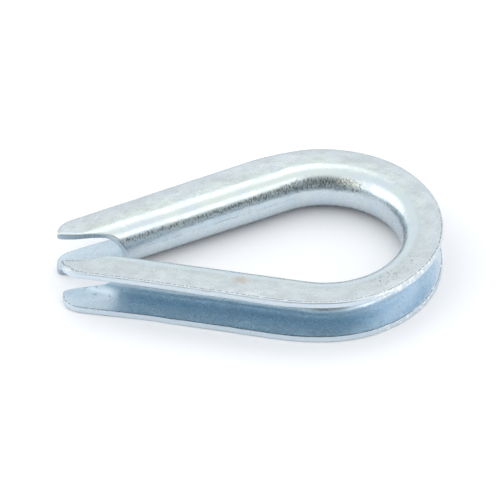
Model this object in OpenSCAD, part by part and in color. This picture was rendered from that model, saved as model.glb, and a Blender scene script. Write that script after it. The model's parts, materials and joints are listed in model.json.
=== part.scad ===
// Wire rope thimble: one strip of steel pressed into a channel and bent into a teardrop.
// The channel is open outwards, where the rope lies. Its back forms the eye.
// Lies flat: Z is up, X points along the teardrop towards the crown, Y goes across it.
// The origin is the middle of the footprint, on the face that it lies on.

/* [Overall] */
// Length from the ear tips to the lip at the crown
overall_l = 53.7; // [51:0.1:58]
// Width of the eye across the crown
eye_w = 21; // [20:0.1:23]
// Thickness of the strip
strip_t = 1; // [0.8:0.1:1.3]
// Height of the channel, over both flanges
channel_h = 7.3; // [6.6:0.1:8.4]
// Depth of the flanges at the crown, from the eye side to the lip
flange_d = 6.2; // [5.8:0.1:6.8]
// Outer radius of the two rounded corners of the channel's back
corner_r = 3; // [2.6:0.1:3.2]

/* [Legs] */
// Angle between each leg's back and the X axis
leg_angle = 19.1; // [18:0.1:20]
// Angle between each leg's lip and the X axis
lip_angle = 19.8; // [19:0.1:21]
// How far the crown's round lip carries on past its widest point, in degrees
lip_wrap = 4.9; // [3:0.1:7]
// Radius of the lip where the crown runs into the leg
lip_bend_r = 30.6; // [26:0.1:36]

/* [Ears] */
// Width of the slot between the left ears and the right ears
slot_w = 3.6; // [3:0.1:4.2]
// Radius of the rounded nose of each ear
nose_r = 2.95; // [2.5:0.05:3.4]
// Distance from the ear tips to the end of the channel's back
back_setback = 9; // [8.6:0.1:10]

/* [Hidden] */
$fn = 64;
eye_r = eye_w / 2;
lip_r = eye_r + flange_d;
tip_x = -overall_l / 2;
crown_c = [overall_l / 2 - lip_r, 0];
seam_w = 0.1;                       // fine line across the middle of the crown
seam_d = 0.02;                      // depth of that line
seam_hold = 4;                      // degrees of the crown that the metal under the line takes up
spare = 2;                          // how far swept and cutting shapes reach past the strip
inner_r = corner_r - strip_t;       // inner radius of the channel's corners
notch_margin = 0.2;                 // step between the flanges and the notch in the back
notch_h = channel_h - 2 * (strip_t + notch_margin);
notch_r = notch_h / 2 - notch_margin;

// Turning angles, counted from the X axis round the crown's centre
leg_turn = 90 + leg_angle;
lip_turn = 90 + lip_wrap;
lip_leg_turn = 90 + lip_angle;
past_middle = 10;                   // each half of the crown is swept this far past the X axis

function along(angle, r) = [r * cos(angle), r * sin(angle)];

// The lip's bend starts on the crown's circle and runs into the straight lip of the leg
lip_bend_c = crown_c + along(lip_turn, lip_r - lip_bend_r);
lip_start = lip_bend_c + along(lip_leg_turn, lip_bend_r);

// The nose touches the line of the lip and the tip of the ear
lip_normal = along(lip_leg_turn, 1);
nose_x = tip_x + nose_r;
nose_y = lip_start[1] - (nose_r + (nose_x - lip_start[0]) * lip_normal[0]) / lip_normal[1];
nose_c = [nose_x, nose_y];
nose_start = nose_c + nose_r * lip_normal;

// A block whose side at X = 0 has rounded corners
module rounded_back(depth, height, r) {
    translate([r, 0]) square([depth - r, height]);
    translate([0, r]) square([depth, height - 2 * r]);
    translate([r, r]) circle(r);
    translate([r, height - r]) circle(r);
}

// Section of the channel: back at X = 0, groove open towards +X, skin taken off all round
module channel_section(depth, skin) {
    difference() {
        translate([skin, skin])
            rounded_back(depth - 2 * skin, channel_h - 2 * skin, corner_r - skin);
        translate([strip_t - skin, strip_t - skin])
            rounded_back(depth, channel_h - 2 * (strip_t - skin), inner_r + skin);
    }
}

// The left half of the crown and the left leg, seen with the leg along +Y, flanges too deep
module half_channel() {
    depth = flange_d + spare;
    leg_l = overall_l;
    mirror([0, 1, 0]) rotate_extrude(angle = leg_turn + past_middle)
        translate([eye_r, 0]) channel_section(depth, 0);
    translate([eye_r, leg_l, 0]) rotate([90, 0, 0])
        linear_extrude(leg_l) channel_section(depth, 0);
}

// The left half seen from above: crown, lip, rounded nose, and the cut edge along the slot
module half_outline() {
    reach = lip_bend_r + spare;
    difference() {
        union() {
            translate(crown_c) circle(lip_r);
            intersection() {
                translate(lip_bend_c) circle(lip_bend_r);
                polygon([lip_bend_c, lip_bend_c + along(lip_turn, reach),
                         lip_bend_c + along(lip_leg_turn, reach)]);
            }
            polygon([crown_c, lip_start, nose_start, nose_c, [nose_x, 0]]);
            translate(nose_c) circle(nose_r);
        }
        translate([-overall_l, -overall_l]) square([2 * overall_l, overall_l + seam_w / 2]);
        translate([-overall_l, -slot_w / 2]) square([overall_l, slot_w]);
    }
}

// The rounded notch that ends the channel's back between the upper and lower ears
module back_notch() {
    translate([tip_x + back_setback, lip_r, (channel_h - notch_h) / 2]) rotate([90, 0, 0])
        linear_extrude(lip_r) mirror([1, 0]) rounded_back(back_setback + spare, notch_h, notch_r);
}

module left_half() {
    difference() {
        intersection() {
            translate(crown_c) rotate(leg_turn) half_channel();
            translate([0, 0, -spare]) linear_extrude(channel_h + 2 * spare) half_outline();
        }
        back_notch();
    }
}

// The metal under the fine line at the crown, which joins the two halves
module crown_middle() {
    translate(crown_c) rotate(-seam_hold / 2) rotate_extrude(angle = seam_hold)
        translate([eye_r, 0]) channel_section(flange_d, seam_d);
}

module thimble() {
    color("lightsteelblue") union() {
        left_half();
        crown_middle();
        mirror([0, 1, 0]) left_half();
    }
}

thimble();
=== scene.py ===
"""Looks of a pressed wire-rope thimble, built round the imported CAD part.

The thimble is one strip of zinc-plated steel. Its mesh is made the way the real one is:
a flat blank with pointed ends is outlined, its sheared edge is given rings with rollover,
and every vertex is then pressed into the channel and bent round the teardrop.
Blank coordinates are s along the strip, v across it and n through its thickness, in mm:
s is above 0 on the far leg, v is above 0 on the upper half, and n is 0 on the eye side.
"""

import json
import math

import bpy
import numpy as np
from mathutils import Matrix, Vector, geometry


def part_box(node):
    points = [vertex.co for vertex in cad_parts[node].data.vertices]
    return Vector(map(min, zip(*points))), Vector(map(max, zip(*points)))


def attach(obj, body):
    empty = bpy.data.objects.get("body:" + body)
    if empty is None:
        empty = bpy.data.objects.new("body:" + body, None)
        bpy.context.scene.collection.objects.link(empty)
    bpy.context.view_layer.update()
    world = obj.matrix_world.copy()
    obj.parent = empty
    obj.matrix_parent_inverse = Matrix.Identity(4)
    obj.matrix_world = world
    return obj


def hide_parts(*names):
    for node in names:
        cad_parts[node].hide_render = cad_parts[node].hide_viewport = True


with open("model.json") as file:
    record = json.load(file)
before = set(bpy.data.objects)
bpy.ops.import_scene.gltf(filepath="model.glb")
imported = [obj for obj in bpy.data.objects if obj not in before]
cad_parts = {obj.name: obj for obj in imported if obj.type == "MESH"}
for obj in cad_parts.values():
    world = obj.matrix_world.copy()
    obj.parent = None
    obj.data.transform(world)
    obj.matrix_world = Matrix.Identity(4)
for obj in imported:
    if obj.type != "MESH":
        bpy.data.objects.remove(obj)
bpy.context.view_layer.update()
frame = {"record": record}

MM = 0.001
NODE = "thimble"


# ---------------------------------------------------------------- sizes, in mm
def unit(angle):
    return np.array([math.cos(angle), math.sin(angle)])


low, high = (np.array(corner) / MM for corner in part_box(NODE))
mounts = {mount["name"]: mount for mount in frame["record"]["mounts"]}
EYE_R = mounts["crown_seat"]["dims"]["r_mm"]
CROWN_X = mounts["crown_seat"]["pos_m"][0] / MM
LIP_R = high[1]                   # the lip is widest at the crown
FLANGE_D = LIP_R - EYE_R
MID_Z = high[2] / 2
TIP_X = low[0]

STRIP_T = 1.0
LEG_ANGLE = math.radians(19.1)
LIP_ANGLE = math.radians(19.8)
LIP_WRAP = math.radians(4.9)
LIP_BEND_R = 30.6
NOSE_R = 2.95
BACK_SETBACK = 9.3                # from the nose tips to the end of the far leg's back

LEG_TURN = math.pi / 2 + LEG_ANGLE
LIP_TURN = math.pi / 2 + LIP_WRAP
LIP_LEG_TURN = math.pi / 2 + LIP_ANGLE
ARC_S = EYE_R * LEG_TURN          # the leg is straight from here

CROWN_C = np.array([CROWN_X, 0.0])
LEG_N = unit(LEG_TURN)
LEG_T = unit(LEG_TURN + math.pi / 2)
LEG_START = CROWN_C + EYE_R * LEG_N
LIP_BEND_C = CROWN_C + (LIP_R - LIP_BEND_R) * unit(LIP_TURN)
LIP_N = unit(LIP_LEG_TURN)
LIP_START = LIP_BEND_C + LIP_BEND_R * LIP_N
NOSE_X = TIP_X + NOSE_R
NOSE_Y = LIP_START[1] - (NOSE_R + (NOSE_X - LIP_START[0]) * LIP_N[0]) / LIP_N[1]
NOSE_C = np.array([NOSE_X, NOSE_Y])
BACK_END_S = ARC_S + (LEG_START[0] - TIP_X - BACK_SETBACK) / math.cos(LEG_ANGLE)

# The section turns from the back into the flange over CORNER_RUN, all but FLANGE_LEAN of
# it, and the flange itself goes on leaning over by that much, less and less to the lip
CORNER_RUN = 4.4
CORNER_EASE = 0.3                 # how softly the turn starts and ends
FLANGE_LEAN = math.radians(12)
LEAN_FADE = 1.2
CROWN_BULGE = 0.35                # how much thinner the flange is at the crown's middle
SAG = 0.035                       # mean dip of the flanges, which rises and falls
SAG_START = 1.0                   # how far past the flat band of the back the dip starts
SAG_FULL = 5.0                    # and where it has its full depth
HALVES_APART = 40                 # so that the two flanges dip in different places
RUN = np.linspace(0, 12, 2401)    # steps along the section, from the flat band of the back

# The strip's sheared ends: a rounded notch, with more of the back left on the near leg
NOTCH_V = -1.3                    # where across the strip the notch is deepest
NOTCH_DEPTH = 0.15
NOTCH_RISE = 0.116                # curve of the notch, in 1/mm
NOTCH_BLEND = 0.25                # softness of the corner between the notch and the slot
NEAR_EXTRA = 1.2                  # how much more of the back the near leg keeps
NEAR_EXTRA_V = 2.6
BURR = 0.3                        # a torn bit at the near end of the back
BURR_V = -1.9
BURR_WIDTH = 0.25
# The four ears, by half and by whether on the near leg: how far the edge along the slot
# lies from the middle line at the nose and at the back, and how much further than usual
# the lip and the nose stand out
EARS = {(1, False): (2.8, 2.15, 0.0, 0.2), (-1, False): (2.3, 1.9, 0.55, 0.3),
        (1, True): (2.75, 2.9, 0.25, 0.3), (-1, True): (2.25, 1.6, 0.45, 0.1)}
SPREAD_START = 40                 # an ear's lip stands out more and more between these s,
SPREAD_FULL = 52
LIP_V = 7                         # and has the whole of it at this v
REACH_START = 49                  # the nose is drawn out between these s
REACH_FULL = 53
SLOT_EASE = 3                     # power by which the slot's edge goes from back to nose
CUT_TILT = 0.6                    # the groove side of a sheared end stands out this far
CUT_TILT_START = 3.0              # the tilt starts and is whole this far before the end
CUT_TILT_FULL = 0.5
CUT_TILT_V = 2.4                  # it is whole up to here across the strip, and then fades
CUT_TILT_END_V = 4.4

SHEAR_WANDER = 0.03               # how far the sheared outline strays
OUTLINE_STEP = 0.1
CUT_POINTS = 240                  # points from the slot's edge to the middle line
RING_STEP = 0.2
EAR_SOFTENING = 24                # rounds of smoothing of the outline
GRID_S = 0.3
GRID_V = 0.22
GRID_GAP = 0.55                   # share of a grid step kept free beside the edge
# Rings of the sheared edge, from the eye side to the groove side:
# how far inside the outline, as a share of the rollover's width, and how deep
EDGE_RINGS = [
    (1.00, 0.000), (0.72, 0.010), (0.46, 0.032), (0.26, 0.065), (0.12, 0.11),
    (0.035, 0.17), (0.00, 0.25), (0.00, 0.45), (0.01, 0.65), (0.03, 0.83),
    (0.08, 0.93), (0.16, 0.985), (0.26, 1.000),
]
ROLLOVER = 0.26
ROLL_WANDER = 0.15                # share by which the rollover's width rises and falls
NOSE_ROLLOVER = 0.62              # more of it, on the nose of the near upper ear,
NOSE_START_S = 50                 # between these places along and across the strip
NOSE_FULL_S = 52.5
NOSE_START_V = 4
NOSE_FULL_V = 5.5
FLATTEST = 0.01                   # least bending of the outline that is taken, in 1/mm
WIDTH_ROUNDS = 8                  # how often the rollover's width is limited by the widths
WIDTH_STEP = 0.02                 # beside it, which it may pass by this much
WIDTH_SOFTENING = 4
# Seeds and wavelengths, along and across the strip, of what wanders
SAG_SEED = 11
SAG_WAVES = (14, 9)
SHEAR_SEED = 5
SHEAR_WAVES = (6, 3)
ROLL_SEED = 8
ROLL_WAVES = (4, 3)


def smooth(value, start, end):
    """0 below start, 1 above end, and an even curve between."""
    share = np.clip((value - start) / (end - start), 0, 1)
    return share * share * (3 - 2 * share)


# ---------------------------------------------------------------- section of the channel
def running_sum(values):
    """Sum of values along RUN, by the trapezium rule."""
    step = RUN[1] - RUN[0]
    return np.concatenate([[0], np.cumsum((values[1:] + values[:-1]) / 2 * step)])


def turn_along(run):
    """Angle that the section has turned by, at each distance from the flat band."""
    share = np.clip(run / CORNER_RUN, 0, 1)
    beyond_half = np.maximum(run - CORNER_RUN / 2, 0)
    eased = share - CORNER_EASE * np.sin(2 * math.pi * share) / (2 * math.pi)
    lean = FLANGE_LEAN * (1 - np.exp(-beyond_half / LEAN_FADE))
    return (math.pi / 2 - FLANGE_LEAN) * eased + lean


TURN = turn_along(RUN)
RISE = running_sum(np.cos(TURN))
REACH = STRIP_T / 2 + running_sum(np.sin(TURN))
SKIN_REACH = REACH - STRIP_T / 2 * np.cos(TURN)
BACK_HALF = MID_Z - STRIP_T / 2 - RISE[-1]    # half the flat band of the back


def depth_to_v(depth):
    """Place across the blank whose eye-side skin lies at this depth from the back's plane."""
    return BACK_HALF + np.interp(depth, SKIN_REACH, RUN)


def v_to_depth(v):
    """Distance of the eye-side skin from the back's plane, for a place across the blank."""
    return np.interp(abs(v) - BACK_HALF, RUN, SKIN_REACH)


def press(s, v, n):
    """Presses the blank into the channel: depth from the back's eye side, and height."""
    across = np.abs(v) - BACK_HALF
    turn = np.interp(across, RUN, TURN)
    depth = np.interp(across, RUN, REACH) - (STRIP_T / 2 - n) * np.cos(turn)
    rise = np.minimum(np.abs(v), BACK_HALF) + np.interp(across, RUN, RISE)
    rise += (STRIP_T / 2 - n) * np.sin(turn)
    half = np.sign(v)
    uneven = 1 + ripples(SAG_SEED, s, half * HALVES_APART + v, *SAG_WAVES)
    sag = SAG * smooth(across, SAG_START, SAG_FULL) * uneven
    return depth, MID_Z + half * (rise - sag)


def ripples(seed, a, b, scale_a, scale_b, count=20):
    """Smooth seeded ripples over two coordinates, between about -1 and 1."""
    rng = np.random.default_rng(seed)
    total = np.zeros_like(a)
    for _ in range(count):
        rate_a = rng.normal(0, 1 / scale_a)
        rate_b = rng.normal(0, 1 / scale_b)
        phase = rng.uniform(0, 2 * math.pi)
        total += np.sin(2 * math.pi * (rate_a * a + rate_b * b) + phase)
    return np.clip(total / math.sqrt(2 * count), -1, 1)


def bend(s, depth, z):
    """Bends the straight channel round the crown, its legs tangent to the round."""
    side = np.sign(s)
    run = np.abs(s)
    turn = np.minimum(run / EYE_R, LEG_TURN)
    beyond = np.maximum(run - ARC_S, 0)
    bulge = CROWN_BULGE * np.cos(np.minimum(turn, math.pi / 2)) ** 2
    depth = depth + bulge * (1 - np.clip(depth / FLANGE_D, 0, 1))
    x = CROWN_X + (EYE_R + depth) * np.cos(turn) + beyond * LEG_T[0]
    y = side * ((EYE_R + depth) * np.sin(turn) + beyond * LEG_T[1])
    return np.column_stack([x, y, z])


def tilt_cut(s, v, n):
    """Leans the sheared ends of the back, so that the groove side reaches further."""
    near_end = smooth(np.abs(s), BACK_END_S - CUT_TILT_START, BACK_END_S - CUT_TILT_FULL)
    on_back = 1 - smooth(np.abs(v), CUT_TILT_V, CUT_TILT_END_V)
    return s + np.sign(s) * CUT_TILT * (n - STRIP_T / 2) * near_end * on_back


def form(blank):
    """Takes rows of (s, v, n) to places on the finished thimble, in mm."""
    s, v, n = blank.T
    s = tilt_cut(s, v, n)
    depth, z = press(s, v, n)
    return bend(s, depth, z)


# ---------------------------------------------------------------- the flat blank
def lip_depth(s):
    """Depth of the flange from the eye side, on the round of the crown and on the leg."""
    turn = min(s / EYE_R, LEG_TURN)
    if turn <= LIP_TURN:
        return FLANGE_D
    normal = unit(turn)
    back = CROWN_C + EYE_R * normal + max(s - ARC_S, 0.0) * LEG_T
    from_c = back - LIP_BEND_C
    half_b = from_c @ normal
    on_arc = -half_b + math.sqrt(half_b**2 - from_c @ from_c + LIP_BEND_R**2)
    point = from_c + on_arc * normal
    if math.atan2(point[1], point[0]) <= LIP_LEG_TURN:
        return on_arc
    return (LIP_START - back) @ LIP_N / (normal @ LIP_N)


def cut_s(v, slot_y, near):
    """Where the sheared end of the strip crosses v: a rounded notch, then along the slot."""
    reach = LEG_START[1] - slot_y + v_to_depth(v) * math.cos(LEG_ANGLE)
    along_slot = ARC_S + reach / math.sin(LEG_ANGLE)
    notch = BACK_END_S + NOTCH_RISE * (v - NOTCH_V) ** 2 - NOTCH_DEPTH
    end = 0.5 * (along_slot + notch + math.hypot(along_slot - notch, NOTCH_BLEND))
    if near:
        end += NEAR_EXTRA * math.exp(-((v / NEAR_EXTRA_V) ** 2))
        end += BURR * math.exp(-(((v - BURR_V) / BURR_WIDTH) ** 2))
    return end


def leg_place(point):
    """A point of the plan as (s, depth) on the straight leg."""
    return ARC_S + (point - LEG_START) @ LEG_T, (point - LEG_START) @ LEG_N


def quarter_outline(half, near):
    """Outline of the blank from the middle of the crown round one ear to the middle of the
    back, as rows of s and v. half is 1 for the upper half of the channel, -1 for the lower."""
    nose_s = leg_place(NOSE_C + NOSE_R * LIP_N)[0]
    rows = [(s, depth_to_v(lip_depth(s))) for s in np.arange(0, nose_s, OUTLINE_STEP)]
    nose_y, back_y, spread, reach = EARS[half, near]
    slot_angle = math.pi - math.asin((nose_y - NOSE_C[1]) / NOSE_R)
    steps = int(NOSE_R * (slot_angle - LIP_LEG_TURN) / OUTLINE_STEP)
    for angle in np.linspace(LIP_LEG_TURN, slot_angle, steps):
        s, depth = leg_place(NOSE_C + NOSE_R * unit(angle))
        rows.append((s, depth_to_v(depth)))
    corner_v = rows[-1][1]
    rows = [(s, v + spread * smooth(s, SPREAD_START, SPREAD_FULL) * smooth(v, corner_v, LIP_V))
            for s, v in rows]
    for v in np.linspace(corner_v, 0, CUT_POINTS)[1:]:
        to_nose = (v_to_depth(v) / v_to_depth(corner_v)) ** SLOT_EASE
        slot_y = back_y + (nose_y - back_y) * to_nose
        rows.append((cut_s(half * v, slot_y, near), v))
    return [(s + reach * smooth(s, REACH_START, REACH_FULL), half * v) for s, v in rows]


def resample(loop, step):
    """The closed loop again, with points at even steps."""
    closed = np.vstack([loop, loop[:1]])
    run = np.concatenate([[0], np.cumsum(np.linalg.norm(np.diff(closed, axis=0), axis=1))])
    count = int(round(run[-1] / step))
    at = np.linspace(0, run[-1], count, endpoint=False)
    return np.column_stack([np.interp(at, run, closed[:, k]) for k in (0, 1)])


def smooth_loop(values, rounds):
    """Averages each value round a closed loop with its two neighbours, again and again."""
    for _ in range(rounds):
        values = (np.roll(values, 1, 0) + 2 * values + np.roll(values, -1, 0)) / 4
    return values


def mirrored(rows):
    """The same outline on the other leg."""
    return [(-s, v) for s, v in rows]


def blank_outline():
    """The whole outline in (s, v), with its ear tips softened and its shear line uneven."""
    far_upper = quarter_outline(1, False)
    far_lower = quarter_outline(-1, False)
    near_lower = mirrored(quarter_outline(-1, True))
    near_upper = mirrored(quarter_outline(1, True))
    loop = far_upper + far_lower[::-1][1:] + near_lower[1:] + near_upper[::-1][1:-1]
    fine = smooth_loop(resample(np.array(loop), OUTLINE_STEP), EAR_SOFTENING)
    even = resample(fine, RING_STEP)
    inward = inward_normals(even)
    wander = 1 + ripples(SHEAR_SEED, even[:, 0], even[:, 1], *SHEAR_WAVES)
    return even + inward * (SHEAR_WANDER * wander)[:, None]


def inward_normals(loop):
    """Unit vectors into a closed loop, one at each of its points."""
    ahead = np.roll(loop, -1, 0)
    tangent = ahead - np.roll(loop, 1, 0)
    tangent /= np.linalg.norm(tangent, axis=1, keepdims=True)
    area = np.sum(loop[:, 0] * ahead[:, 1] - ahead[:, 0] * loop[:, 1])
    inward = np.column_stack([-tangent[:, 1], tangent[:, 0]])
    return inward if area > 0 else -inward


# ---------------------------------------------------------------- mesh of the strip
def edge_rings(outline):
    """The rings of the sheared edge as arrays of (s, v, n)."""
    inward = inward_normals(outline)
    curve = np.roll(outline, -1, 0) - 2 * outline + np.roll(outline, 1, 0)
    bending = np.abs(np.sum(curve * inward, axis=1)) / RING_STEP**2
    s, v = outline.T
    widest = ROLLOVER * (1 + ROLL_WANDER * ripples(ROLL_SEED, s, v, *ROLL_WAVES))
    on_nose = smooth(-s, NOSE_START_S, NOSE_FULL_S) * smooth(v, NOSE_START_V, NOSE_FULL_V)
    widest += NOSE_ROLLOVER * on_nose
    width = np.minimum(widest, 0.5 / np.maximum(bending, FLATTEST))
    for _ in range(WIDTH_ROUNDS):
        beside = np.minimum(np.roll(width, 1), np.roll(width, -1))
        width = np.minimum(width, beside + WIDTH_STEP)
    width = smooth_loop(width, WIDTH_SOFTENING)
    rings = []
    for ring_share, depth in EDGE_RINGS:
        flat = outline + inward * (width * ring_share)[:, None]
        rings.append(np.column_stack([flat, np.full(len(flat), depth * STRIP_T)]))
    return rings


TRIANGLES_INSIDE = 1              # Blender's number for triangles inside the outer loop only
MERGE_GAP = 1e-6


def fill(ring, depth):
    """Triangles over one face of the strip inside a ring: new rows, and faces that count
    ring rows first and new rows after them."""
    flat = ring[:, :2]
    s_lines = np.arange(flat[:, 0].min(), flat[:, 0].max(), GRID_S)
    v_lines = np.arange(flat[:, 1].min(), flat[:, 1].max(), GRID_V)
    grid = np.array([(s, v) for s in s_lines for v in v_lines])
    grid = grid[inside(grid, flat)]
    grid = grid[nearest(grid, flat) > GRID_GAP * min(GRID_S, GRID_V)]
    points = [Vector(p) for p in np.vstack([flat, grid])]
    count = len(flat)
    edges = [(i, (i + 1) % count) for i in range(count)]
    made = geometry.delaunay_2d_cdt(points, edges, [], TRIANGLES_INSIDE, MERGE_GAP)
    source = [origin[0] for origin in made[3]]
    faces = [[source[i] for i in face] for face in made[2]]
    return np.column_stack([grid, np.full(len(grid), depth)]), faces


def inside(points, loop):
    """Even-odd test of many points against one closed loop."""
    result = np.zeros(len(points), bool)
    px, py = points.T
    for (ax, ay), (bx, by) in zip(loop, np.roll(loop, -1, 0)):
        if ay == by:
            continue
        crosses = (ay > py) != (by > py)
        result ^= crosses & (px < (bx - ax) * (py - ay) / (by - ay) + ax)
    return result


def nearest(points, loop):
    """Distance from each point to the nearest point of the loop."""
    best = np.full(len(points), np.inf)
    for corner in loop:
        best = np.minimum(best, (points[:, 0] - corner[0])**2 + (points[:, 1] - corner[1])**2)
    return np.sqrt(best)


def strip_mesh():
    """All blank rows, the faces of the closed strip, and for each row its place from the
    edge: as a share of the rollover's width on the rings, and on from there further in."""
    outline = blank_outline()
    rings = edge_rings(outline)
    roll = [np.full(len(outline), ring_share) for ring_share, _ in EDGE_RINGS]
    count = len(outline)
    rows = list(rings)
    faces = []
    for k in range(len(rings) - 1):
        a, b = k * count, (k + 1) * count
        faces += [[a + i, a + (i + 1) % count, b + (i + 1) % count, b + i] for i in range(count)]
    total = count * len(rings)
    for ring_index, depth in ((0, 0.0), (len(rings) - 1, STRIP_T)):
        grid, triangles = fill(rings[ring_index], depth)
        first = ring_index * count
        shift = total - count
        faces += [[i + (first if i < count else shift) for i in face] for face in triangles]
        rows.append(grid)
        further = nearest(grid[:, :2], rings[ring_index][:, :2]) / ROLLOVER
        roll.append(EDGE_RINGS[ring_index][0] + further)
        total += len(grid)
    return np.vstack(rows), faces, np.concatenate(roll)


def build_thimble():
    """The strip as an object. It keeps each vertex's place on the blank for the material."""
    blank, faces, roll = strip_mesh()
    mesh = bpy.data.meshes.new("thimble_strip")
    mesh.from_pydata((form(blank) * MM).tolist(), [], faces)
    mesh.validate()
    places = mesh.attributes.new("blank", "FLOAT_VECTOR", "POINT")
    places.data.foreach_set("vector", blank.astype(np.float32).ravel())
    rolls = mesh.attributes.new("roll", "FLOAT", "POINT")
    rolls.data.foreach_set("value", roll.astype(np.float32))
    piece = bpy.data.objects.new("thimble_strip", mesh)
    bpy.context.scene.collection.objects.link(piece)
    tidy_normals(piece)
    return piece


def tidy_normals(piece):
    """Turns all faces outwards and shades them smooth."""
    bpy.context.view_layer.objects.active = piece
    piece.select_set(True)
    bpy.ops.object.mode_set(mode="EDIT")
    bpy.ops.mesh.select_all(action="SELECT")
    bpy.ops.mesh.normals_make_consistent(inside=False)
    bpy.ops.object.mode_set(mode="OBJECT")
    piece.data.shade_smooth()
    piece.select_set(False)


# ---------------------------------------------------------------- shader building
class Shading:
    """Adds nodes to a tree. A value is a number, a colour or the socket of another node."""

    def __init__(self, tree):
        self.tree = tree

    def node(self, kind, values=(), output=0, **settings):
        """Adds a node, sets its settings and its sockets' values, and returns one output."""
        node = self.tree.nodes.new(kind)
        for name, setting in settings.items():
            setattr(node, name, setting)
        for key, value in dict(values).items():
            self.put(node.inputs[key], value)
        return node.outputs[output]

    def put(self, socket, value):
        if isinstance(value, bpy.types.NodeSocket):
            self.tree.links.new(value, socket)
        else:
            socket.default_value = value

    def math(self, operation, a, b=0.0):
        return self.node("ShaderNodeMath", {0: a, 1: b}, operation=operation)

    def times(self, a, b):
        return self.math("MULTIPLY", a, b)

    def plus(self, a, b):
        return self.math("ADD", a, b)

    def steps(self, value, start, end, low=0.0, high=1.0):
        """Smooth change from low to high as value goes from start to end."""
        values = {"Value": value, "From Min": start, "From Max": end,
                  "To Min": low, "To Max": high}
        return self.node("ShaderNodeMapRange", values, interpolation_type="SMOOTHSTEP")

    def band(self, value, middle, half, soft):
        """1 where value is within half of middle, and 0 further off than half and soft."""
        off = self.math("ABSOLUTE", self.math("SUBTRACT", value, middle))
        return self.steps(off, half, half + soft, 1.0, 0.0)

    def mix(self, factor, a, b):
        """Mixes two colours."""
        return self.node("ShaderNodeMix", {0: factor, 6: a, 7: b}, output=2, data_type="RGBA")

    def noise(self, place, scale, detail=2.0, rough=0.5, distortion=0.0):
        values = {"Vector": place, "Scale": scale, "Detail": detail, "Roughness": rough,
                  "Distortion": distortion}
        return self.node("ShaderNodeTexNoise", values)

    def stretched(self, place, factors):
        values = {0: place, 1: factors}
        return self.node("ShaderNodeVectorMath", values, operation="MULTIPLY")

    def limited(self, value):
        return self.node("ShaderNodeClamp", {"Value": value})


# ---------------------------------------------------------------- zinc-plated steel
BLUE_ZINC = (0.60, 0.695, 0.76, 1)
PALE_ZINC = (0.645, 0.715, 0.75, 1)
GREEN_TINT = (0.67, 0.75, 0.705, 1)
# The groove's colour is darkened as painted shade of its recess, and paler at the crown and the
# ends as painted light entering it
SHADED_GROOVE_ZINC = (0.48, 0.61, 0.70, 1)
LIT_GROOVE_ZINC = (0.70, 0.81, 0.90, 1)
# Real cracks, and a painted dark reflection over the band they lie in
CRINKLED_DARK_REFLECTION = (0.20, 0.235, 0.235, 1)
# painted shade under the back's lower corner, where it overhangs the floor
FOOT_SHADE = (0.13, 0.17, 0.21, 1)
# painted highlight
SPARKLE = (0.95, 0.97, 0.98, 1)
# painted highlight
YELLOW_GLINT = (0.98, 0.97, 0.80, 1)
STAIN = (0.60, 0.52, 0.40, 1)
DARK_SPECK = (0.20, 0.22, 0.23, 1)
SHEARED = (0.66, 0.75, 0.82, 1)
# painted shade of the sheared faces by the slots, which face the shadowed floor
SLOT_FACE_SHADE = (0.34, 0.43, 0.50, 1)
# Middles of the marks and of the painted highlights, shade and reflection on the blank, in mm
# along and across it
STAIN_S = -28.8
STAIN_V = 4.9
SCRATCHES_S = -9.6
SCRATCHES_V = 5.2
SPARKLES_S = -9.5
GLINTS_S = 11.6
GLINTS_V = 2.2
CRINKLES_V = 1.78
SHADE_V = 0.6
CREASE_S = 31.0
CREASE_V = 0.15
FOOT_V = -3.4
NICKS_S = -48.0
NICKS_V = -4.5


def zinc_material():
    """Zinc plating laid out on the flat blank, so its marks follow the strip round the bend.
    Limits below are in mm on the blank; depths of colour and of masks go from 0 to 1."""
    material = bpy.data.materials.new("zinc_plated_steel")
    material.use_nodes = True
    shader = material.node_tree.nodes["Principled BSDF"]
    sh = Shading(material.node_tree)
    place = sh.node("ShaderNodeAttribute", output="Vector", attribute_name="blank")
    roll = sh.node("ShaderNodeAttribute", output="Fac", attribute_name="roll")
    s, v, n = split(sh, place)
    masks = zinc_masks(sh, place, s, v, n, roll)
    shader.inputs["Metallic"].default_value = 1.0
    sh.put(shader.inputs["Base Color"], zinc_colour(sh, place, s, v, masks))
    sh.put(shader.inputs["Roughness"], zinc_roughness(sh, place, masks))
    sh.put(shader.inputs["Normal"], zinc_bump(sh, place, masks))
    return material


def split(sh, vector):
    """The three numbers of a vector."""
    node = sh.tree.nodes.new("ShaderNodeSeparateXYZ")
    sh.put(node.inputs[0], vector)
    return node.outputs


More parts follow.
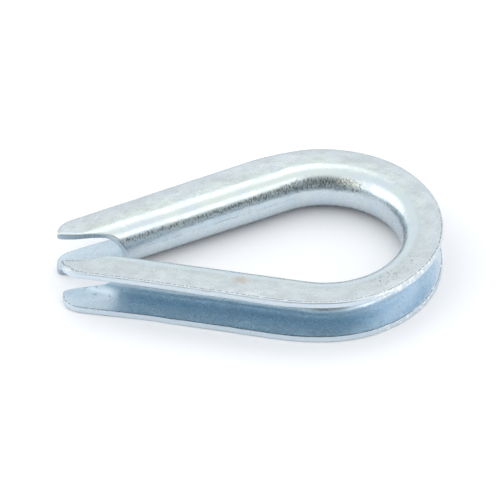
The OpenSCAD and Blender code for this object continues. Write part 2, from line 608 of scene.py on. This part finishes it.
def zinc_masks(sh, place, s, v, n, roll):
    """Where on the strip each kind of surface lies, and where painted shade and light go, each
    as a value from 0 to 1.
    """
    across = sh.math("ABSOLUTE", v)
    groove = sh.steps(n, 0.9, 0.98)
    face = sh.times(sh.steps(roll, 0.08, 0.25, 1.0, 0.0), sh.steps(n, 0.12, 0.22))
    eye = sh.steps(n, 0.05, 0.2, 1.0, 0.0)
    half = sh.steps(s, 13.0, 30.0, 0.62, 0.20)
    # band of the stretched corner: real crinkles, and a painted dark reflection laid over it
    from_middle = sh.math("ABSOLUTE", sh.math("SUBTRACT", v, CRINKLES_V))
    off = sh.math("SUBTRACT", from_middle, half)
    stretched = sh.times(sh.steps(s, 5.0, 14.0), sh.steps(off, -0.2, 0.6, 1.0, 0.0))
    run = sh.math("ABSOLUTE", s)
    # crown and ends: where the groove gets painted light
    crown = sh.steps(run, 8.0, 16.0, 1.0, 0.0)
    ends = sh.steps(run, 43.0, 49.0, 0.0, 0.4)
    return {
        "groove": groove,
        "face": face,
        "eye": eye,
        "across": across,
        "roll": roll,
        # sheared faces by the slots, which get painted shade
        "slot": sh.times(face, sh.band(across, 5.0, 1.4, 0.9)),
        # painted shade on the lower corner of the eye side
        "foot_shade": sh.times(sh.band(v, FOOT_V, 1.1, 0.8), eye),
        "web": sh.times(sh.steps(s, 20.0, 28.0), eye),
        "corner": sh.times(stretched, eye),
        "pale": sh.plus(crown, ends),
        "ear": sh.steps(run, 41.0, 46.0),
        "nose": sh.times(sh.steps(s, -50.5, -52.5), sh.steps(v, 3.5, 5.0)),
        "lip_line": lip_line(sh, place, s, across, roll, groove),
    }


def lip_line(sh, place, s, across, roll, groove):
    """A thin broken line where the sheared edge starts, fainter on the far leg."""
    wander = sh.times(sh.math("SUBTRACT", sh.noise(place, 0.9), 0.5), 0.5)
    level = sh.plus(sh.times(groove, -0.6), 1.15)
    line = sh.band(sh.math("SUBTRACT", roll, wander), level, 0.18, 0.3)
    broken = sh.steps(sh.noise(sh.stretched(place, (2.2, 1.0, 1.0)), 1.6, 3.0), 0.36, 0.52)
    line = sh.times(line, sh.steps(across, 5.0, 5.7))
    return sh.times(sh.times(line, broken), sh.steps(s, -4.0, 6.0, 1.0, 0.2))


def zinc_colour(sh, place, s, v, masks):
    """Colour of the plating: clouds, then the tints of each part of it, then its marks, with
    painted shade, painted light, painted reflection and painted glints and sparkles mixed in.
    """
    patches = sh.steps(sh.noise(place, 0.32, 4.0, 0.6), 0.36, 0.64)
    patches = sh.math("MAXIMUM", patches, sh.steps(masks["across"], 3.4, 5.6, 0.0, 0.85))
    colour = sh.mix(patches, BLUE_ZINC, PALE_ZINC)
    colour = sh.mix(sh.times(passivation(sh, place, s, masks), 0.8), colour, GREEN_TINT)
    # painted shade in the groove, lightened by painted light at the crown and the ends
    groove = sh.mix(masks["pale"], SHADED_GROOVE_ZINC, LIT_GROOVE_ZINC)
    colour = sh.mix(sh.times(masks["groove"], 0.9), colour, groove)
    # crinkles, and painted dark reflection on their band
    colour = sh.mix(crinkles_and_dark_band(sh, place, masks), colour, CRINKLED_DARK_REFLECTION)
    # painted shade at the foot
    colour = sh.mix(sh.times(masks["foot_shade"], 0.9), colour, FOOT_SHADE)
    # painted shade: a darker band along the far leg's back
    shade = sh.times(sh.band(v, SHADE_V, 0.2, 0.45), masks["web"])
    colour = sh.mix(sh.times(shade, 0.4), colour, SHADED_GROOVE_ZINC)
    # painted glints
    colour = sh.mix(glints(sh, place, s, v, masks), colour, YELLOW_GLINT)
    colour = sh.mix(sh.times(stains(sh, place, s, v, masks), 0.55), colour, STAIN)
    colour = sh.mix(sh.times(masks["face"], 0.8), colour, SHEARED)
    # painted shade on the sheared faces by the slots
    colour = sh.mix(sh.times(masks["slot"], 0.9), colour, SLOT_FACE_SHADE)
    # painted sparkle highlights
    colour = sh.mix(sparkles(sh, place, s, masks), colour, SPARKLE)
    dark = sh.math("MAXIMUM", specks(sh, place), sh.times(masks["lip_line"], 0.7))
    dark = sh.math("MAXIMUM", dark, sh.times(scratches(sh, place, s, v, masks), 0.7))
    dark = sh.math("MAXIMUM", dark, sh.times(crease(sh, place, s, v, masks), 0.35))
    dark = sh.math("MAXIMUM", dark, sh.times(nicks(sh, place, s, v, masks), 0.55))
    return sh.mix(dark, colour, DARK_SPECK)


def crinkles_and_dark_band(sh, place, masks):
    """Fine cracks across the strip where its corner was stretched, fewer at the borders, on a
    band darkened as a painted dark reflection.
    """
    marks = sh.noise(sh.stretched(place, (4.8, 1.8, 1.0)), 1.0, 2.0, 0.65, 0.4)
    marks = sh.plus(marks, sh.times(masks["corner"], 0.34))
    # the whole band is darkened: a painted dark reflection
    dark_reflection_band = sh.times(masks["corner"], 0.42)
    return sh.math("MAXIMUM", sh.steps(marks, 0.74, 0.90), dark_reflection_band)


def glints(sh, place, s, v, masks):
    """Painted yellow-white glints: small highlights where the crinkled band meets the crown."""
    patch = sh.times(sh.band(s, GLINTS_S, 0.6, 2.2), sh.band(v, GLINTS_V, 0.2, 0.6))
    glint_noise = sh.noise(sh.stretched(place, (2.2, 4.0, 1.0)), 1.5, 2.0, 0.6)
    return sh.times(sh.times(sh.steps(glint_noise, 0.46, 0.6), patch), masks["eye"])


def sparkles(sh, place, s, masks):
    """Painted sparkle highlights: on the lips by the crown, and on the outer parts of the
    groove's walls.
    """
    sparkle_noise = sh.noise(place, 2.9, 2.0, 0.6)
    lips = sh.times(sh.band(s, SPARKLES_S, 3.0, 1.5), sh.steps(masks["roll"], 0.7, 1.1, 1.0, 0.0))
    lips = sh.times(lips, sh.steps(sparkle_noise, 0.52, 0.58))
    wall = sh.times(masks["groove"], sh.steps(masks["across"], 4.4, 6.6))
    wall = sh.times(wall, sh.steps(sparkle_noise, 0.52, 0.66))
    return sh.math("MAXIMUM", lips, sh.times(wall, 0.30))


def passivation(sh, place, s, masks):
    """The yellow-green film of the zinc, strongest where the flange turns into the back."""
    belt = sh.band(masks["across"], 3.9, 0.9, 1.8)
    cloud = sh.steps(sh.noise(place, 0.22, 3.0, 0.55), 0.35, 0.6)
    belt = sh.times(belt, sh.steps(s, -2.0, 12.0, 0.35, 1.0))
    return sh.times(sh.times(belt, cloud), masks["eye"])


def stains(sh, place, s, v, masks):
    """One faint brown drying mark on the near flange, and a few paler ones elsewhere."""
    wander = sh.times(sh.math("SUBTRACT", sh.noise(place, 0.8, 3.0), 0.5), 1.6)
    off_s = sh.times(sh.math("SUBTRACT", s, STAIN_S), 0.62)
    off_v = sh.math("SUBTRACT", v, STAIN_V)
    reach = sh.math("SQRT", sh.plus(sh.math("POWER", off_s, 2.0), sh.math("POWER", off_v, 2.0)))
    mark = sh.steps(sh.plus(reach, wander), 0.2, 1.2, 1.0, 0.0)
    others = sh.times(sh.steps(sh.noise(place, 0.17, 2.0, 0.5), 0.66, 0.76), 0.08)
    return sh.math("MAXIMUM", sh.times(mark, masks["eye"]), others)


def specks(sh, place):
    """Fine dark pits, gathered in patches."""
    fine = sh.noise(place, 3.4, 2.0, 0.6)
    gathered = sh.noise(place, 0.5, 2.0)
    limit = sh.plus(sh.times(gathered, -0.14), 0.76)
    pits = sh.steps(sh.math("SUBTRACT", fine, limit), 0.0, 0.07)
    return sh.times(pits, 0.5)


def scratches(sh, place, s, v, masks):
    """Short marks across the upper lip, on the near side of the crown."""
    patch = sh.times(sh.band(s, SCRATCHES_S, 2.2, 1.8), sh.band(v, SCRATCHES_V, 0.6, 0.9))
    marks = sh.noise(sh.stretched(place, (5.0, 1.2, 1.0)), 1.0, 3.0, 0.65)
    return sh.times(sh.times(sh.steps(marks, 0.55, 0.66), patch), masks["eye"])


def nicks(sh, place, s, v, masks):
    """A few dark dents in the groove side of the near lower ear."""
    patch = sh.times(sh.band(s, NICKS_S, 3.0, 0.8), sh.band(v, NICKS_V, 0.8, 0.7))
    dents = sh.steps(sh.noise(place, 1.1, 2.0, 0.55), 0.60, 0.68)
    return sh.times(sh.times(dents, patch), masks["groove"])


def crease(sh, place, s, v, masks):
    """A faint dark line along the back, on the far leg."""
    wander = sh.times(sh.math("SUBTRACT", sh.noise(place, 0.35), 0.5), 0.6)
    line = sh.band(sh.plus(v, wander), CREASE_V, 0.04, 0.10)
    broken = sh.steps(sh.noise(place, 0.6, 2.0), 0.40, 0.55)
    patch = sh.times(sh.band(s, CREASE_S, 8.0, 5.0), masks["eye"])
    return sh.times(sh.times(line, broken), patch)


def zinc_roughness(sh, place, masks):
    """Cloudy and finely grained, rougher on the sheared faces and inside the ears."""
    cloudy = sh.steps(sh.noise(place, 0.6, 4.0, 0.6), 0.3, 0.7, 0.20, 0.34)
    fine = sh.times(sh.math("SUBTRACT", sh.noise(place, 5.0, 2.0), 0.5), 0.14)
    rough = sh.plus(cloudy, fine)
    rough = sh.plus(rough, sh.times(sh.times(masks["groove"], masks["ear"]), 0.06))
    return sh.limited(sh.plus(rough, sh.times(masks["face"], 0.18)))


def striae(sh, masks):
    """Fine ridges along the edge, on the rolled nose of the near upper ear."""
    waves = sh.math("SINE", sh.times(masks["roll"], 21.0))
    on_edge = sh.times(masks["nose"], sh.steps(masks["roll"], 0.85, 1.0, 1.0, 0.0))
    return sh.times(sh.times(waves, 0.03), on_edge)


def zinc_bump(sh, place, masks):
    """Heights in mm: orange peel, dents, crinkles, shear marks, the lip's line and striae."""
    peel = sh.times(sh.noise(place, 2.6, 3.0, 0.55), 0.016)
    dents = sh.times(sh.noise(place, 0.45, 2.0, 0.5), 0.07)
    crinkle = sh.times(crinkles_and_dark_band(sh, place, masks), -0.08)
    shear = sh.noise(sh.stretched(place, (4.0, 4.0, 0.7)), 1.4, 3.0, 0.6)
    shear = sh.times(sh.times(shear, 0.05), masks["face"])
    line = sh.times(masks["lip_line"], -0.02)
    height = sh.plus(sh.plus(peel, dents), sh.plus(crinkle, shear))
    height = sh.plus(sh.plus(height, line), striae(sh, masks))
    values = {"Height": height, "Distance": MM, "Strength": 1.0}
    return sh.node("ShaderNodeBump", values)


# ---------------------------------------------------------------- stage
FLOOR_LOW = (0.95, 0.955, 0.97, 1)
FLOOR_HIGH = (0.965, 0.97, 0.985, 1)
FLOOR_GLOW = 0.04
FLOOR_SIZE = 4.0                  # in metres


def floor_material():
    """White light table, faintly lit, with a barely seen mottle."""
    material = bpy.data.materials.new("floor")
    material.use_nodes = True
    shader = material.node_tree.nodes["Principled BSDF"]
    sh = Shading(material.node_tree)
    place = sh.node("ShaderNodeTexCoord", output="Object")
    mottle = sh.noise(place, 60.0, 3.0)
    sh.put(shader.inputs["Base Color"], sh.mix(mottle, FLOOR_LOW, FLOOR_HIGH))
    shader.inputs["Roughness"].default_value = 0.8
    shader.inputs["Specular IOR Level"].default_value = 0.2
    shader.inputs["Emission Color"].default_value = (1.0, 1.0, 1.0, 1.0)
    shader.inputs["Emission Strength"].default_value = FLOOR_GLOW
    return material


# Soft boxes of the studio, seen from the thimble: azimuth, elevation, radius and soft rim
# in degrees, and brightness. Azimuth is 0 at -Y and grows to +X. Later ones lie over
# earlier ones, and all of them over the dome.
DOME = (1.03, 1.05, 1.07)
SOFT_BOXES = [
    (174, 39, 11, 5, 0.84),       # dimmer patch on the far side, under the bright box
    (90, 62, 33, 9, 1.1),         # above, on the right
    (158, 60, 13, 5, 1.75),       # bright box, high on the far side
    (-6, 10, 28, 14, 0.30),       # the dark room, low on the near side
    (34, -2, 18, 8, 0.55),        # its end, to the right
    (46, 36, 15, 8, 1.8),         # bright box above that end
    (-92, 14, 30, 14, 1.9),       # bright box on the left
]


def add_world():
    """Light from a pale dome with soft round boxes on it."""
    world = bpy.data.worlds.new("studio")
    bpy.context.scene.world = world
    world.use_nodes = True
    background = world.node_tree.nodes["Background"]
    sh = Shading(world.node_tree)
    direction = sh.node("ShaderNodeTexCoord", output="Generated")
    light = (*DOME, 1.0)
    for azimuth, elevation, radius, rim, brightness in SOFT_BOXES:
        axis = axis_to(azimuth, elevation)
        facing = sh.node("ShaderNodeVectorMath", {0: direction, 1: axis}, output="Value",
                         operation="DOT_PRODUCT")
        edge = math.cos(math.radians(radius + rim))
        core = math.cos(math.radians(max(radius - rim, 0)))
        grey = (brightness, brightness, brightness, 1.0)
        light = sh.mix(sh.steps(facing, edge, core), light, grey)
    sh.put(background.inputs["Color"], light)
    background.inputs["Strength"].default_value = 1.0


def axis_to(azimuth, elevation):
    """Unit vector from the thimble, from angles in degrees."""
    azimuth, elevation = math.radians(azimuth), math.radians(elevation)
    return Vector((math.sin(azimuth) * math.cos(elevation),
                   -math.cos(azimuth) * math.cos(elevation), math.sin(elevation)))


def add_floor():
    bpy.ops.mesh.primitive_plane_add(size=FLOOR_SIZE, location=(0, 0, 0))
    floor = bpy.context.object
    floor.name = "floor"
    floor.data.materials.append(floor_material())


# The photograph's viewing angle, in degrees, and lengths in mm
CAMERA_AZIMUTH = -6.765
CAMERA_ELEVATION = 40.818
CAMERA_ROLL = -0.449
CAMERA_DISTANCE = 653.4
CAMERA_TARGET = (CROWN_X - 10.48, -0.37, 4.0)
CAMERA_LENS = 336.7
CAMERA_SENSOR = 36


def add_camera():
    back = axis_to(CAMERA_AZIMUTH, CAMERA_ELEVATION)
    data = bpy.data.cameras.new("camera")
    data.lens = CAMERA_LENS
    data.sensor_width = CAMERA_SENSOR
    data.clip_start = 0.01
    camera = bpy.data.objects.new("camera", data)
    bpy.context.scene.collection.objects.link(camera)
    camera.location = (Vector(CAMERA_TARGET) + back * CAMERA_DISTANCE) * MM
    level = (-back).to_track_quat("-Z", "Y").to_matrix()
    roll = Matrix.Rotation(math.radians(CAMERA_ROLL), 3, "Z")
    camera.rotation_euler = (level @ roll).to_euler()
    bpy.context.scene.camera = camera


def main():
    bpy.context.scene.view_settings.view_transform = "Standard"
    add_floor()
    add_camera()
    add_world()
    piece = build_thimble()
    piece.data.materials.append(zinc_material())
    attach(piece, "root")
    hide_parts(NODE)


main()
